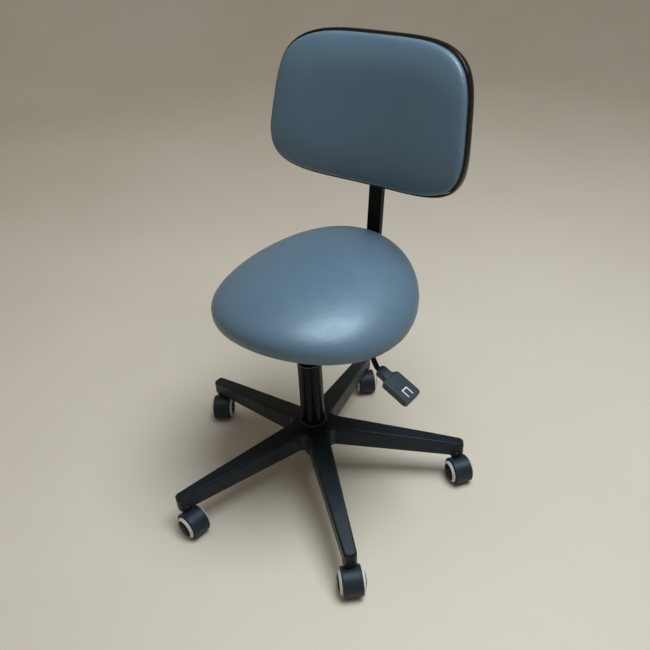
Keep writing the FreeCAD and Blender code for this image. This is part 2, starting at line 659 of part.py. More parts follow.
def pad_section(place, half, crown, shoulder, heel, base):
    """A cushion's section: a wide arc on top, a rolled side in two arcs left and right, a wide arc below.

    The upper side arc leaves the top smoothly and stands out just as far as the half width."""
    rise = crown - shoulder[1]
    middle = (crown ** 2 - shoulder[1] ** 2 - shoulder[0] ** 2) / (2 * rise)
    slope = -shoulder[0] / (shoulder[1] - middle)
    square = math.hypot(1, slope)
    upper = (half - shoulder[0]) / (1 + slope / square)
    widest = (half, shoulder[1] - upper / square)
    drop = widest[1] - heel[1]
    lower = ((half - heel[0]) ** 2 + drop ** 2) / (2 * (half - heel[0]))
    upper_middle = arc_middle((half - upper, widest[1]), upper, shoulder, widest)
    lower_middle = arc_middle((half - lower, widest[1]), lower, widest, heel)
    right = [shoulder, upper_middle, widest, lower_middle, heel]
    left = [(-x, height) for x, height in reversed(right)]
    loop = [(0, crown)] + right + [(0, base)] + left
    points = [place(x, height) for x, height in loop]
    ends = points[-1:] + points
    arcs = [Part.Arc(*ends[index:index + 3]) for index in range(0, len(loop), 2)]
    return Part.Wire([arc.toShape() for arc in arcs])


def seat_pad():
    """A saddle cushion, lofted from front to rear."""
    half_width = size("seat_half_width")
    stations = 7
    last_station = 85

    def height(x, lean, power, rise):
        share = min(1.0, math.hypot(math.sin(lean), x / half_width))
        sag = size("saddle_drop") * (x / size("saddle_reach")) ** 2
        return size("seat_lower") - sag + rise * (1 - share ** power) ** (1 / power)

    sections = []
    for step in range(-stations, stations + 1):
        lean = math.radians(last_station) * math.sin(step / stations * math.pi / 2)
        depth = size("seat_rear") if lean > 0 else size("seat_front")
        y = size("seat_widest") + depth * math.sin(lean)
        half = half_width * math.cos(lean)
        shoulder = half * (1 - size("pad_roll_width") / half_width)
        heel = half * (1 - size("pad_heel_width") / half_width)

        def top(x):
            return height(x, lean, size("crown_power"), size("seat_crown"))

        def low(x):
            return height(x, lean, size("under_power"), -size("seat_lower"))

        sections.append(pad_section(lambda x, z: Vector(x, y, z), half, top(0), (shoulder, top(shoulder)),
                                    (heel, low(heel)), low(0)))
    return solid("seat_pad", Part.makeLoft(sections, True, False), seat_frame())


def seat_screw_spots():
    x = size("plate_half_width") - size("screw_edge")
    front = size("screw_edge") - size("plate_front")
    rear = size("plate_rear") - size("screw_edge")
    return [Vector(side * x, y, 0) for y in (front, rear) for side in (-1, 1)]


def seat_pan():
    """A thin arched shell under the pad, with a flat boss for the mounting plate."""
    arch = size("saddle_reach") ** 2 / (2 * size("saddle_drop"))
    inset = size("pan_inset")
    wide = size("seat_half_width") - inset
    middle = Vector(0, size("seat_widest"), 0)
    halves = []
    for depth, start in ((size("seat_front") - inset, math.pi), (size("seat_rear") - inset, 0)):
        if depth > wide:
            ellipse = Part.Ellipse(middle + Vector(0, depth, 0), middle + Vector(wide, 0, 0), middle)
            start -= math.pi / 2
        else:
            ellipse = Part.Ellipse(middle + Vector(wide, 0, 0), middle + Vector(0, depth, 0), middle)
        halves.append(Part.ArcOfEllipse(ellipse, start, start + math.pi).toShape())
    room = size("saddle_drop") + size("pan_boss_depth")
    face = Part.Face(Part.Wire(halves))
    face.translate(Vector(0, 0, -room))
    prism = face.extrude(Vector(0, 0, 2 * room))
    length = 2 * (size("seat_front") + size("seat_rear"))
    foot = Vector(0, -length / 2, -arch - size("pad_gap"))
    shell = Part.makeCylinder(arch, length, foot, Y_AXIS)
    shell = shell.cut(Part.makeCylinder(arch - size("pan_thickness"), length, foot, Y_AXIS))
    shell = shell.common(prism)
    margin = size("pan_boss_margin")
    boss_half = size("plate_half_width") + margin
    boss_length = size("plate_front") + size("plate_rear") + 2 * margin
    boss = Part.makeBox(2 * boss_half, boss_length, size("pan_boss_depth"),
                        Vector(-boss_half, -size("plate_front") - margin, -size("pan_boss_depth")))
    boss = boss.common(Part.makeCylinder(arch, length, foot, Y_AXIS))
    shape = shell.fuse(boss).removeSplitter()
    for spot in seat_screw_spots():
        foot = spot - Vector(0, 0, size("pan_boss_depth"))
        shape = shape.cut(Part.makeCylinder(size("screw_radius") + size("seat_gap"), size("screw_bite"), foot))
    return solid("seat_pan", shape, seat_frame())


def screw(name, shank, radius, head_radius, head_height, place):
    """A headed screw whose shank stands up from z = 0."""
    body = turned(name, [
        ("0", f"-{head_height}"), (head_radius, f"-{head_height}"), (head_radius, "0"), (radius, "0"),
        (radius, shank), ("0", shank)])
    body.Placement = place
    return body


def seat_plate():
    plate = padded("plate", "XY_Plane", [
        ("-plate_half_width", "-plate_front"), ("plate_half_width", "-plate_front"),
        ("plate_half_width", "plate_rear"), ("-plate_half_width", "plate_rear")],
        "plate_thickness", lift=f"-{PLATE_DEPTH}")
    rounded(plate, "plate_corner", Z_AXIS)
    under = -value_of(PLATE_DEPTH)
    holes = []
    screws = []
    for index, spot in enumerate(seat_screw_spots()):
        place = Placement(spot + Vector(0, 0, under), Rotation())
        holes.append(cylinder(f"plate_hole_{index}", "screw_radius + seat_gap", "plate_thickness", place))
        screws.append(screw(f"seat_screw_{index}", "plate_thickness + screw_bite - run_gap", "screw_radius",
                            "screw_head_radius", "screw_head_height", place))
    node(cut("plate_cut", plate, holes), "seat_plate", seat_frame())
    group = doc.addObject("Part::Compound", "screws")
    group.Links = screws
    node(group, "seat_screws", seat_frame())


def channel_top(y):
    """Height of the mounting plate's underside at a distance behind the column."""
    return f"(seat_under + ({y}) * tan(seat_tilt) - {PLATE_DEPTH} / cos(seat_tilt))"


def lever_frame():
    return at(0, 0, 0, Z_AXIS, size("lever_heading"))


PIVOT_HEIGHT = "(lever_height - lever_knee_drop * lever_pivot_at / lever_knee_at)"


def mechanism():
    """A steel channel under the plate, with the lift's socket and the lever's pivot lugs."""
    outer = padded("channel_outside", "YZ_Plane", [
        ("-channel_front", "channel_low"), ("channel_rear", "channel_low"),
        ("channel_rear", channel_top("channel_rear")), ("-channel_front", channel_top("-channel_front"))],
        "2 * channel_half_width", middle=True)
    inner = padded("channel_inside", "YZ_Plane", [
        ("-2 * channel_front", "channel_low + channel_wall"), ("2 * channel_rear", "channel_low + channel_wall"),
        ("2 * channel_rear", "2 * seat_under"), ("-2 * channel_front", "2 * seat_under")],
        "2 * (channel_half_width - channel_wall)", middle=True)
    middle_hole = cylinder("channel_middle_hole", "lift_radius + socket_wall / 2", "channel_wall",
                           at(0, 0, size("channel_low")))
    channel = cut("channel", outer, [inner, middle_hole])
    socket = turned("socket", [
        ("lift_radius + seat_gap", "lift_top - socket_height"),
        ("lift_radius + socket_wall", "lift_top - socket_height"), ("lift_radius + socket_wall", "lift_top"),
        ("lift_radius - socket_taper * socket_height + seat_gap", "lift_top")])
    inner_face = size("lever_barrel_half") + size("run_gap")
    lug_low = size("channel_low") + size("channel_wall") / 2
    lug_x = size("lever_pivot_at") - size("lug_half_length")
    lugs = []
    for index, y in enumerate((inner_face, -inner_face - size("lug_thickness"))):
        lugs.append(box(f"lug_{index}", "2 * lug_half_length", "lug_thickness",
                        f"{PIVOT_HEIGHT} + lug_above_pivot - channel_low - channel_wall / 2",
                        lever_frame() * at(lug_x, y, lug_low)))
    whole = fused("mechanism_whole", [channel, socket] + lugs)
    reach = 2 * (inner_face + size("lug_thickness"))
    pivot = Vector(size("lever_pivot_at"), -reach / 2, value_of(PIVOT_HEIGHT))
    tools = [cylinder("lug_hole", "lever_pivot_radius + seat_gap",
                      "2 * (lever_barrel_half + run_gap + lug_thickness)",
                      lever_frame() * Placement(pivot, LIE_ALONG_Y))]
    tools.append(box("lever_slot", "2 * channel_wall", "slot_width", "slot_height",
                     lever_frame() * at(size("channel_half_width") - 1.5 * size("channel_wall"),
                                        -size("slot_width") / 2,
                                        value_of(PIVOT_HEIGHT) - size("slot_height") / 2)))
    bolts = []
    for index in range(2):
        place = at(0, size("bolt_first") + index * size("bolt_step"), size("channel_low"))
        tools.append(cylinder(f"bolt_hole_{index}", "bolt_radius + seat_gap", "channel_wall", place))
        bolts.append(screw(f"bar_bolt_{index}", "channel_wall + bar_thickness", "bolt_radius",
                           "bolt_head_radius", "bolt_head_height", place))
    node(cut("mechanism", whole, tools), "mechanism_channel")
    group = doc.addObject("Part::Compound", "bolts")
    group.Links = bolts
    node(group, "bar_bolts")
    pin = cylinder("lever_pin", "lever_pivot_radius", "2 * (lever_barrel_half + run_gap + lug_thickness)")
    node(pin, "lever_pivot", lever_frame() * Placement(pivot, LIE_ALONG_Y))


def lever():
    """A bent rod that rocks on its pivot over the release pin, and the paddle on its end."""
    slope = size("lever_knee_drop") / size("lever_knee_at")
    droop = math.radians(size("paddle_droop"))
    high = size("lever_height")
    tail = Vector(-size("lever_tail"), 0, high + slope * size("lever_tail"))
    knee = Vector(size("lever_knee_at"), 0, high - size("lever_knee_drop"))
    elbow = Vector(size("lever_elbow_at"), 0, high - size("lever_elbow_drop"))
    end = elbow + Vector(math.cos(droop), 0, -math.sin(droop)) * size("paddle_grip")
    path = bent_path([tail, knee, elbow, end], size("lever_bend"))
    ring = Part.Wire(Part.Circle(tail, knee - tail, size("lever_radius")).toShape())
    rod = path.makePipeShell([ring], True, True)
    pivot = Vector(size("lever_pivot_at"), -size("lever_barrel_half"), value_of(PIVOT_HEIGHT))
    length = 2 * size("lever_barrel_half")
    rod = rod.fuse(Part.makeCylinder(size("lever_barrel_radius"), length, pivot, Y_AXIS))
    bore = size("lever_pivot_radius") + size("shaft_gap")
    solid("lever_rod", rod.cut(Part.makeCylinder(bore, length, pivot, Y_AXIS)), lever_frame())
    neck = "paddle_neck / 2"
    wide = "paddle_width / 2"
    blade = "paddle_neck_length + paddle_shoulder"
    paddle = padded("paddle", "XY_Plane", [
        ("paddle_setback", f"-{neck}"), ("paddle_neck_length", f"-{neck}"), (blade, f"-{wide}"),
        ("paddle_length", f"-{wide}"), ("paddle_length", wide), (blade, wide), ("paddle_neck_length", neck),
        ("paddle_setback", neck)], "paddle_thickness", middle=True)
    rounded(paddle, "paddle_corner", Z_AXIS)
    sunk = padded("paddle_face", "XY_Plane", [
        (blade, f"-{wide} + paddle_rim"), ("paddle_length - paddle_rim", f"-{wide} + paddle_rim"),
        ("paddle_length - paddle_rim", f"{wide} - paddle_rim"), (blade, f"{wide} - paddle_rim")],
        "paddle_thickness", lift="paddle_thickness / 2 - paddle_sink")
    rounded(sunk, "paddle_corner - paddle_rim", Z_AXIS)
    hole = cylinder("paddle_hole", "lever_radius + seat_gap", "paddle_grip + run_gap", at(0, 0, 0, Y_AXIS, 90))
    place = lever_frame() * Placement(elbow, Rotation(Y_AXIS, size("paddle_droop")))
    node(cut("paddle_cut", paddle, [sunk, hole]), "lever_paddle", place)


def bar_point(height):
    lean = math.tan(math.radians(size("bar_lean")))
    return Vector(0, size("bar_mark_y") + lean * (height - size("bar_mark_z")), height)


def back_bar():
    """A flat bar, level in the channel and bent up behind the seat."""
    level = size("channel_low") + size("channel_wall") + size("bar_thickness") / 2
    front = Vector(0, size("bar_front_end"), level)
    path = bent_path([front, bar_point(level), bar_point(size("bar_top"))], size("bar_bend"))
    half = Vector(size("bar_width") / 2, 0, 0)
    up = Vector(0, 0, size("bar_thickness") / 2)
    section = Part.makePolygon([front - half - up, front + half - up, front + half + up, front - half + up,
                                front - half - up])
    bar = path.makePipeShell([section], True, True)
    for index in range(2):
        foot = Vector(0, size("bolt_first") + index * size("bolt_step"), level - size("bar_thickness") / 2)
        radius = size("bolt_radius") + size("seat_gap")
        bar = bar.cut(Part.makeCylinder(radius, size("bar_thickness"), foot))
    return solid("back_bar", bar)


def bracket_frame():
    return Placement(bar_point(size("bracket_height")), Rotation(X_AXIS, -size("bar_lean")))


def bracket():
    """A sleeve on the bar, with the tilt lug in front and the clamp knob behind."""
    half = "(bar_thickness / 2 + run_gap)"
    side = "(bar_width / 2 + run_gap)"
    front = f"({half} + bracket_front)"
    rear = f"({half} + bracket_rear)"
    block = padded("bracket_block", "XY_Plane", [
        (f"-{side} - bracket_side", f"-{front}"), (f"{side} + bracket_side", f"-{front}"),
        (f"{side} + bracket_side", rear), (f"-{side} - bracket_side", rear)],
        "2 * bracket_half_length", middle=True)
    rounded(block, "bracket_corner", Z_AXIS)
    slot = padded("bracket_slot", "XY_Plane", [
        (f"-{side}", f"-{half}"), (side, f"-{half}"), (side, half), (f"-{side}", half)],
        "4 * bracket_half_length", middle=True)
    sleeve = cut("bracket_sleeve", block, [slot])
    lug_left = Vector(-size("hinge_lug_half"), -size("hinge_ahead"), 0)
    along_x = Rotation(Y_AXIS, 90)
    lug = cylinder("bracket_lug", "hinge_lug_radius", "2 * hinge_lug_half", Placement(lug_left, along_x))
    arm = box("bracket_arm", "2 * hinge_lug_half", f"hinge_ahead - {half} - bracket_front / 2",
              "2 * hinge_lug_radius", Placement(lug_left - Vector(0, 0, size("hinge_lug_radius")), Rotation()))
    whole = fused("bracket_whole", [sleeve, lug, arm])
    pin_hole = cylinder("bracket_pin_hole", "hinge_radius + seat_gap", "2 * hinge_lug_half",
                        Placement(lug_left, along_x))
    stud_hole = cylinder("bracket_stud_hole", "stud_radius + shaft_gap", "2 * bracket_rear",
                         Placement(Vector(0, value_of(half) - size("run_gap"), 0), LIE_ALONG_Y))
    node(cut("bracket", whole, [pin_hole, stud_hole]), "back_bracket", bracket_frame())
    half_pin = "(hinge_lug_half + run_gap + hinge_ear)"
    pin = cylinder("tilt_pin", "hinge_radius", f"2 * {half_pin}")
    pin_end = Vector(-value_of(half_pin), -size("hinge_ahead"), 0)
    node(pin, "back_tilt_pin", bracket_frame() * Placement(pin_end, along_x))
    face = f"({rear} + run_gap)"
    bevel = "knob_depth / 6"
    knob = turned("knob_blank", [
        ("0", half), ("stud_radius", half), ("stud_radius", face), (f"knob_radius - {bevel}", face),
        ("knob_radius", f"{face} + {bevel}"), ("knob_radius", f"{face} + knob_depth - {bevel}"),
        (f"knob_radius - {bevel}", f"{face} + knob_depth"), ("0", f"{face} + knob_depth")])
    count = int(size("knob_scallops"))
    out = size("knob_radius") + size("knob_scallop") / 2
    hollows = []
    for index in range(count):
        angle = 2 * math.pi * index / count
        place = at(out * math.cos(angle), out * math.sin(angle), value_of(face))
        hollows.append(cylinder(f"knob_hollow_{index}", "knob_scallop", "knob_depth", place))
    node(cut("knob", knob, hollows), "clamp_knob", bracket_frame() * Placement(Vector(), LIE_ALONG_Y))


def back_frame():
    return Placement(Vector(0, size("back_y"), size("back_z")), Rotation(X_AXIS, -size("back_lean")))


def bow(x):
    """How far the back rest's curve comes forward at a distance from the middle."""
    return math.sqrt(size("back_bow") ** 2 - x * x) - size("back_bow")


def back_prism(inset):
    """The back rest's rounded outline, drawn in by an inset and run from front to rear."""
    wide = size("back_half_width") - inset
    high = size("back_half_height") - inset
    count = 48
    points = []
    for index in range(count):
        angle = 2 * math.pi * (index + 0.5) / count
        across = math.copysign(abs(math.cos(angle)) ** (2 / size("back_power")), math.cos(angle))
        up = math.copysign(abs(math.sin(angle)) ** (2 / size("back_power")), math.sin(angle))
        points.append(Vector(wide * across * (1 + size("back_taper") * up), 0, high * up))
    curve = Part.BSplineCurve()
    curve.interpolate(points, PeriodicFlag=True)
    face = Part.Face(Part.Wire(curve.toShape()))
    room = size("back_half_width")
    face.translate(Vector(0, -room, 0))
    return face.extrude(Vector(0, 2 * room, 0))


def back_band(front, rear):
    """The space between two depths of the bowed back rest."""
    tall = 4 * size("back_half_height")
    foot = Vector(0, -size("back_bow"), -tall / 2)
    inner = Part.makeCylinder(size("back_bow") + front, tall, foot)
    return Part.makeCylinder(size("back_bow") + rear, tall, foot).cut(inner)


def hinge_axis():
    """The tilt axis in the back rest's own frame."""
    axis = bracket_frame().multVec(Vector(0, -size("hinge_ahead"), 0))
    return back_frame().inverse().multVec(axis)


def hinge_screw_spots():
    axis = hinge_axis()
    rear = size("trim_depth") + size("hinge_plate_thickness")
    return [Vector(side * size("hinge_screw_x"), rear, axis.z + rise * size("hinge_screw_z"))
            for side in (-1, 1) for rise in (-1, 1)]


def drill_back(shape):
    for spot in hinge_screw_spots():
        radius = size("screw_radius") + size("seat_gap")
        length = size("hinge_plate_thickness") + size("cover_thickness") + size("screw_bite")
        shape = shape.cut(Part.makeCylinder(radius, length, spot, -Y_AXIS))
    return shape


def back_rest():
    depth = size("trim_depth")
    wall = size("trim_wall")
    whole = back_prism(0)
    core = back_prism(wall + size("seat_gap"))
    solid("back_trim", whole.cut(back_prism(wall)).common(back_band(0, depth)), back_frame())
    cover = core.common(back_band(depth - size("cover_thickness"), depth))
    solid("back_cover", drill_back(cover), back_frame())
    front = size("board_front")
    board = core.common(back_band(front, front + size("board_thickness")))
    solid("back_board", drill_back(board), back_frame())


def back_pad():
    """A crowned cushion, lofted from bottom to top through bowed sections."""
    inset = size("trim_wall") + size("back_rim_gap")
    wide = size("back_half_width") - inset
    high = size("back_half_height") - inset
    power = size("back_power")
    roll = size("back_roll")
    behind = size("board_front") - size("pad_gap")
    edge = size("back_edge")
    stations = 7
    last_station = 0.995

    def face(x, share):
        away = min(1.0, ((abs(x) / wide) ** power + abs(share) ** power) ** (1 / power))
        return edge - bow(x) + (size("back_crown") - edge) * (1 - away ** roll) ** (1 / roll)

    sections = []
    for step in range(-stations, stations + 1):
        share = last_station * math.sin(step / stations * math.pi / 2)
        z = high * share
        half = wide * (1 + size("back_taper") * share) * (1 - abs(share) ** power) ** (1 / power)
        shoulder = half * (1 - size("back_roll_width") / wide)
        heel = half - size("back_tuck")
        sections.append(pad_section(lambda x, rise: Vector(x, -rise, z), half, face(0, share),
                                    (shoulder, face(shoulder, share)), (heel, -bow(heel) - behind), -behind))
    return solid("back_pad", Part.makeLoft(sections, True, False), back_frame())


def back_hinge():
    """A steel plate on the rear cover, with two ears on the tilt pin."""
    axis = hinge_axis()
    depth = size("trim_depth")
    thick = size("hinge_plate_thickness")
    half_wide = size("hinge_plate_half_width")
    half_high = size("hinge_plate_half_height")
    plate = Part.makeBox(2 * half_wide, thick, 2 * half_high, Vector(-half_wide, depth, axis.z - half_high))
    corners = [edge for edge in plate.Edges if abs(abs(edge.Curve.Direction * Y_AXIS) - 1) < 1e-6]
    plate = plate.makeFillet(size("hinge_plate_corner"), corners)
    inner = size("hinge_lug_half") + size("run_gap")
    window = size("hinge_window")
    plate = plate.cut(Part.makeBox(2 * inner, thick, 2 * window, Vector(-inner, depth, axis.z - window)))
    radius = size("hinge_ear_radius")
    ear = size("hinge_ear")
    shape = plate
    for x in (inner, -inner - ear):
        lobe = Part.makeCylinder(radius, ear, Vector(x, axis.y, axis.z), X_AXIS)
        arm = Part.makeBox(ear, axis.y - depth - thick / 2, 2 * radius,
                           Vector(x, depth + thick / 2, axis.z - radius))
        shape = shape.fuse(arm).fuse(lobe)
    pin = Part.makeCylinder(size("hinge_radius") + size("shaft_gap"), 4 * half_wide,
                            Vector(-2 * half_wide, axis.y, axis.z), X_AXIS)
    shape = shape.cut(pin).cut(Part.makeBox(2 * inner, 2 * axis.y, 2 * radius,
                                            Vector(-inner, depth, axis.z - radius)))
    solid("back_hinge", drill_back(shape).removeSplitter(), back_frame())
    screws = []
    into_board = Rotation(X_AXIS, 90)
    for index, spot in enumerate(hinge_screw_spots()):
        screws.append(screw(f"back_screw_{index}",
                            "hinge_plate_thickness + cover_thickness + screw_bite - run_gap", "screw_radius",
                            "screw_head_radius", "hinge_screw_head", Placement(spot, into_board)))
    group = doc.addObject("Part::Compound", "hinge_screws")
    group.Links = screws
    node(group, "back_screws", back_frame())


star_base()
castor_stems()
castors()
gas_lift()
seat_pad()
seat_pan()
seat_plate()
mechanism()
lever()
back_bar()
bracket()
back_rest()
back_pad()
back_hinge()
doc.recompute()

for thing in doc.Objects:
    if "Invalid" in thing.State or "Error" in thing.State:
        raise RuntimeError(f"{thing.Label} failed: {thing.State}")
for thing in nodes:
    if thing.Shape.isNull() or not thing.Shape.isValid():
        raise RuntimeError(f"{thing.Label} has no valid shape")

os.makedirs("parts", exist_ok=True)
for thing in nodes:
    thing.Shape.exportStep(f"parts/{thing.Label}.step")
    print(f"{thing.Label}: {len(thing.Shape.Solids)} solids, {thing.Shape.Volume / 1000:.2f} cm3")
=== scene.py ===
import bpy
import math
import numpy as np
from mathutils import Matrix


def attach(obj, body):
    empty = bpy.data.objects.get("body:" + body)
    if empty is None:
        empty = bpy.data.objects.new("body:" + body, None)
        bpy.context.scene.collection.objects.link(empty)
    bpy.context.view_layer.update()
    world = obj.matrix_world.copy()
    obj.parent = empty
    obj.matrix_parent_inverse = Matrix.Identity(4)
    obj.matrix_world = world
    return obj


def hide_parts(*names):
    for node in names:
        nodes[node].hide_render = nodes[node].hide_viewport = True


# Practitioner chair. Metres, +Z up, the sitter faces -Y, the column stands at the origin.

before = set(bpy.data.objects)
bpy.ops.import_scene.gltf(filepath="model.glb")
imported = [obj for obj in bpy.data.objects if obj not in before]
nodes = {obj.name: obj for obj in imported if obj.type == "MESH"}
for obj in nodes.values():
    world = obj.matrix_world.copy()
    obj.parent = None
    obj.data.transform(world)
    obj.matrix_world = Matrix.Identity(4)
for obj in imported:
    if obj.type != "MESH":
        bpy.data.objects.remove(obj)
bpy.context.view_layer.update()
scene = bpy.context.scene
scene.view_settings.view_transform = "Standard"
print("frame:", len(nodes), "CAD nodes")


def linear(red, green, blue):
    rgb = np.array([red, green, blue]) / 255  # screen colour to light
    light = np.where(rgb <= 0.04045, rgb / 12.92, ((rgb + 0.055) / 1.055) ** 2.4)
    return tuple(float(v) for v in light) + (1.0,)


def shaded(colour, share):
    return tuple(v * share for v in colour[:3]) + (1.0,)


# Shader building blocks

# a noise's size is (scale, detail) or (scale, detail, roughness)
noiseSpan = (0.3, 0.7)  # where most values of a noise lie


def newFinish(name):
    finish = bpy.data.materials.new(name)
    finish.use_nodes = True
    tree = finish.node_tree
    shader = tree.nodes["Principled BSDF"]
    coords = tree.nodes.new("ShaderNodeTexCoord")
    return finish, tree, shader, coords.outputs["Object"]


def noiseOn(tree, coords, scale, detail, rough=0.5):
    noise = tree.nodes.new("ShaderNodeTexNoise")
    noise.inputs["Scale"].default_value = scale
    noise.inputs["Detail"].default_value = detail
    noise.inputs["Roughness"].default_value = rough
    tree.links.new(coords, noise.inputs["Vector"])
    return noise.outputs["Fac"]


def cellsOn(tree, coords, scale):
    cells = tree.nodes.new("ShaderNodeTexVoronoi")
    cells.inputs["Scale"].default_value = scale
    tree.links.new(coords, cells.inputs["Vector"])
    return cells.outputs["Distance"]


def remap(tree, value, fromLow, fromHigh, toLow, toHigh):
    ranged = tree.nodes.new("ShaderNodeMapRange")
    sockets = ("From Min", "From Max", "To Min", "To Max")
    for socket, number in zip(sockets, (fromLow, fromHigh, toLow, toHigh)):
        ranged.inputs[socket].default_value = number
    tree.links.new(value, ranged.inputs["Value"])
    return ranged.outputs["Result"]


def cloudOn(tree, coords, size, low=0.0, high=1.0, span=noiseSpan):
    # a noise spread from low to high
    return remap(tree, noiseOn(tree, coords, *size), *span, low, high)


def mathOn(tree, operation, first, second):
    step = tree.nodes.new("ShaderNodeMath")
    step.operation = operation
    for socket, value in zip(step.inputs, (first, second)):
        if isinstance(value, (int, float)):
            socket.default_value = value
        else:
            tree.links.new(value, socket)
    return step.outputs[0]


def mixColours(tree, factor, first, second):
    mix = tree.nodes.new("ShaderNodeMix")
    mix.data_type = "RGBA"
    tree.links.new(factor, mix.inputs[0])
    for socket, colour in ((mix.inputs[6], first), (mix.inputs[7], second)):
        if isinstance(colour, tuple):
            socket.default_value = colour
        else:
            tree.links.new(colour, socket)
    return mix.outputs[2]


def bumpFrom(tree, height, strength, distance, normal=None):
    bump = tree.nodes.new("ShaderNodeBump")
    bump.inputs["Strength"].default_value = strength
    bump.inputs["Distance"].default_value = distance
    tree.links.new(height, bump.inputs["Height"])
    if normal is not None:
        tree.links.new(normal, bump.inputs["Normal"])
    return bump.outputs["Normal"]


roundedEdge = dict(samples=6, flat=0.97, turned=0.75)


def softEdges(tree, radius):
    # the normal turned round sharp edges, and how far it is turned, 0 on flats to 1 on edges
    bevel = tree.nodes.new("ShaderNodeBevel")
    bevel.samples = roundedEdge["samples"]
    bevel.inputs["Radius"].default_value = radius
    geometry = tree.nodes.new("ShaderNodeNewGeometry")
    dot = tree.nodes.new("ShaderNodeVectorMath")
    dot.operation = "DOT_PRODUCT"
    tree.links.new(bevel.outputs["Normal"], dot.inputs[0])
    tree.links.new(geometry.outputs["Normal"], dot.inputs[1])
    onEdge = remap(tree, dot.outputs["Value"], roundedEdge["flat"], roundedEdge["turned"], 0.0, 1.0)
    return bevel.outputs["Normal"], onEdge


# Finishes

moulding = dict(cloud=(9, 5), cloudShare=0.82, edgeMottle=(60, 3), edgeMottleSpan=(0.35, 0.65), edgeMottleLow=0.25, edgeMottleHigh=0.9,
                uneven=(34, 4), smoother=0.06, rougher=0.07, grainDetail=2, grainRough=0.6, grainStrength=0.5)


def mouldedFinish(name, colour, wearAndGlint, rough, grain, depth, edge, shine=0.5, glint=(1, 1, 1, 1)):
    # moulded plastic: faint cloudiness, fine spark-eroded grain, edges rubbed a little smoother and mostly
    # paler; the paler edges are partly wear and partly a painted highlight along the rounded edges
    look = moulding
    finish, tree, shader, coords = newFinish(name)
    cloud = cloudOn(tree, coords, look["cloud"])
    base = mixColours(tree, cloud, shaded(colour, look["cloudShare"]), colour)
    normal, onEdge = softEdges(tree, edge)
    patches = cloudOn(tree, coords, look["edgeMottle"], look["edgeMottleLow"], look["edgeMottleHigh"], look["edgeMottleSpan"])
    edgeMottle = mathOn(tree, "MULTIPLY", onEdge, patches)
    # painted highlight: the mix towards the edge colour on edges stands partly for rub wear and partly for
    # the light caught by rounded edges
    tree.links.new(mixColours(tree, edgeMottle, base, wearAndGlint), shader.inputs["Base Color"])
    uneven = cloudOn(tree, coords, look["uneven"], rough - look["smoother"], rough + look["rougher"])
    polish = mathOn(tree, "MULTIPLY", onEdge, look["smoother"])
    tree.links.new(mathOn(tree, "SUBTRACT", uneven, polish), shader.inputs["Roughness"])
    fine = noiseOn(tree, coords, grain, look["grainDetail"], look["grainRough"])
    tree.links.new(bumpFrom(tree, fine, look["grainStrength"], depth, normal), shader.inputs["Normal"])
    shader.inputs["Specular IOR Level"].default_value = shine
    shader.inputs["Specular Tint"].default_value = glint
    return finish


coating = dict(specks=(420, 2), speckSpan=(0.58, 0.72), speckHigh=0.35, speckGain=2.2, speckLift=0.006,
               edgeMottle=(45, 4), edgeMottleSpan=(0.45, 0.7), edgeMottleHigh=0.8, rubbed=linear(40, 41, 43),
               uneven=(26, 4), smoother=0.05, rougher=0.08, peelDetail=2, peelStrength=0.4)


def paintedFinish(name, colour, rough, peel, depth, edge, shine):
    # powder coat on steel: orange peel, dull specks, edges rubbed a little paler
    look = coating
    finish, tree, shader, coords = newFinish(name)
    specks = cloudOn(tree, coords, look["specks"], 0.0, look["speckHigh"], look["speckSpan"])
    grey = tuple(v * look["speckGain"] + look["speckLift"] for v in colour[:3]) + (1.0,)
    base = mixColours(tree, specks, colour, grey)
    normal, onEdge = softEdges(tree, edge)
    patches = cloudOn(tree, coords, look["edgeMottle"], 0.0, look["edgeMottleHigh"], look["edgeMottleSpan"])
    edgeMottle = mathOn(tree, "MULTIPLY", onEdge, patches)
    tree.links.new(mixColours(tree, edgeMottle, base, look["rubbed"]), shader.inputs["Base Color"])
    uneven = cloudOn(tree, coords, look["uneven"], rough - look["smoother"], rough + look["rougher"])
    tree.links.new(uneven, shader.inputs["Roughness"])
    orangePeel = noiseOn(tree, coords, peel, look["peelDetail"])
    tree.links.new(bumpFrom(tree, orangePeel, look["peelStrength"], depth, normal), shader.inputs["Normal"])
    shader.inputs["Specular IOR Level"].default_value = shine
    return finish


plating = dict(cloud=(70, 5), cloudShare=0.8, uneven=(210, 4), unevenSpan=(0.25, 0.75), smoother=0.07,
               rougher=0.1, scratchDetail=3, scratchRough=0.7, scratchStrength=0.25, scratchDepth=0.00003)


def metalFinish(name, colour, rough, scratch, edge):
    # plated steel: fine scratches in all directions, slight clouding
    look = plating
    finish, tree, shader, coords = newFinish(name)
    cloud = cloudOn(tree, coords, look["cloud"])
    dull = shaded(colour, look["cloudShare"])
    tree.links.new(mixColours(tree, cloud, dull, colour), shader.inputs["Base Color"])
    shader.inputs["Metallic"].default_value = 1.0
    uneven = cloudOn(tree, coords, look["uneven"], rough - look["smoother"], rough + look["rougher"],
                     look["unevenSpan"])
    tree.links.new(uneven, shader.inputs["Roughness"])
    normal = softEdges(tree, edge)[0]
    scratches = noiseOn(tree, coords, scratch, look["scratchDetail"], look["scratchRough"])
    tree.links.new(bumpFrom(tree, scratches, look["scratchStrength"], look["scratchDepth"], normal),
                   shader.inputs["Normal"])
    return finish


vinylLook = dict(colour=linear(91, 115, 133), shade=linear(86, 109, 127), blotch=(5, 4),
                 rough=0.37, smoother=0.04, rougher=0.05, uneven=(40, 4), gloss=0.68,
                 glint=(0.74, 0.89, 1.0, 1.0),
                 grain=620, grainStrength=0.22, grainDepth=0.00005,
                 crease=(130, 3), creaseStrength=0.2, creaseDepth=0.00012,
                 fleck=linear(158, 180, 198), scuffGlint=(330, 3, 0.7), scuffGlintSpan=(0.60, 0.68), fleckShare=0.5,
                 fleckRough=0.3, scuffGlintAt=(0.125, -0.09, 0.464), scuffGlintReach=0.085, scuffGlintCore=0.01)


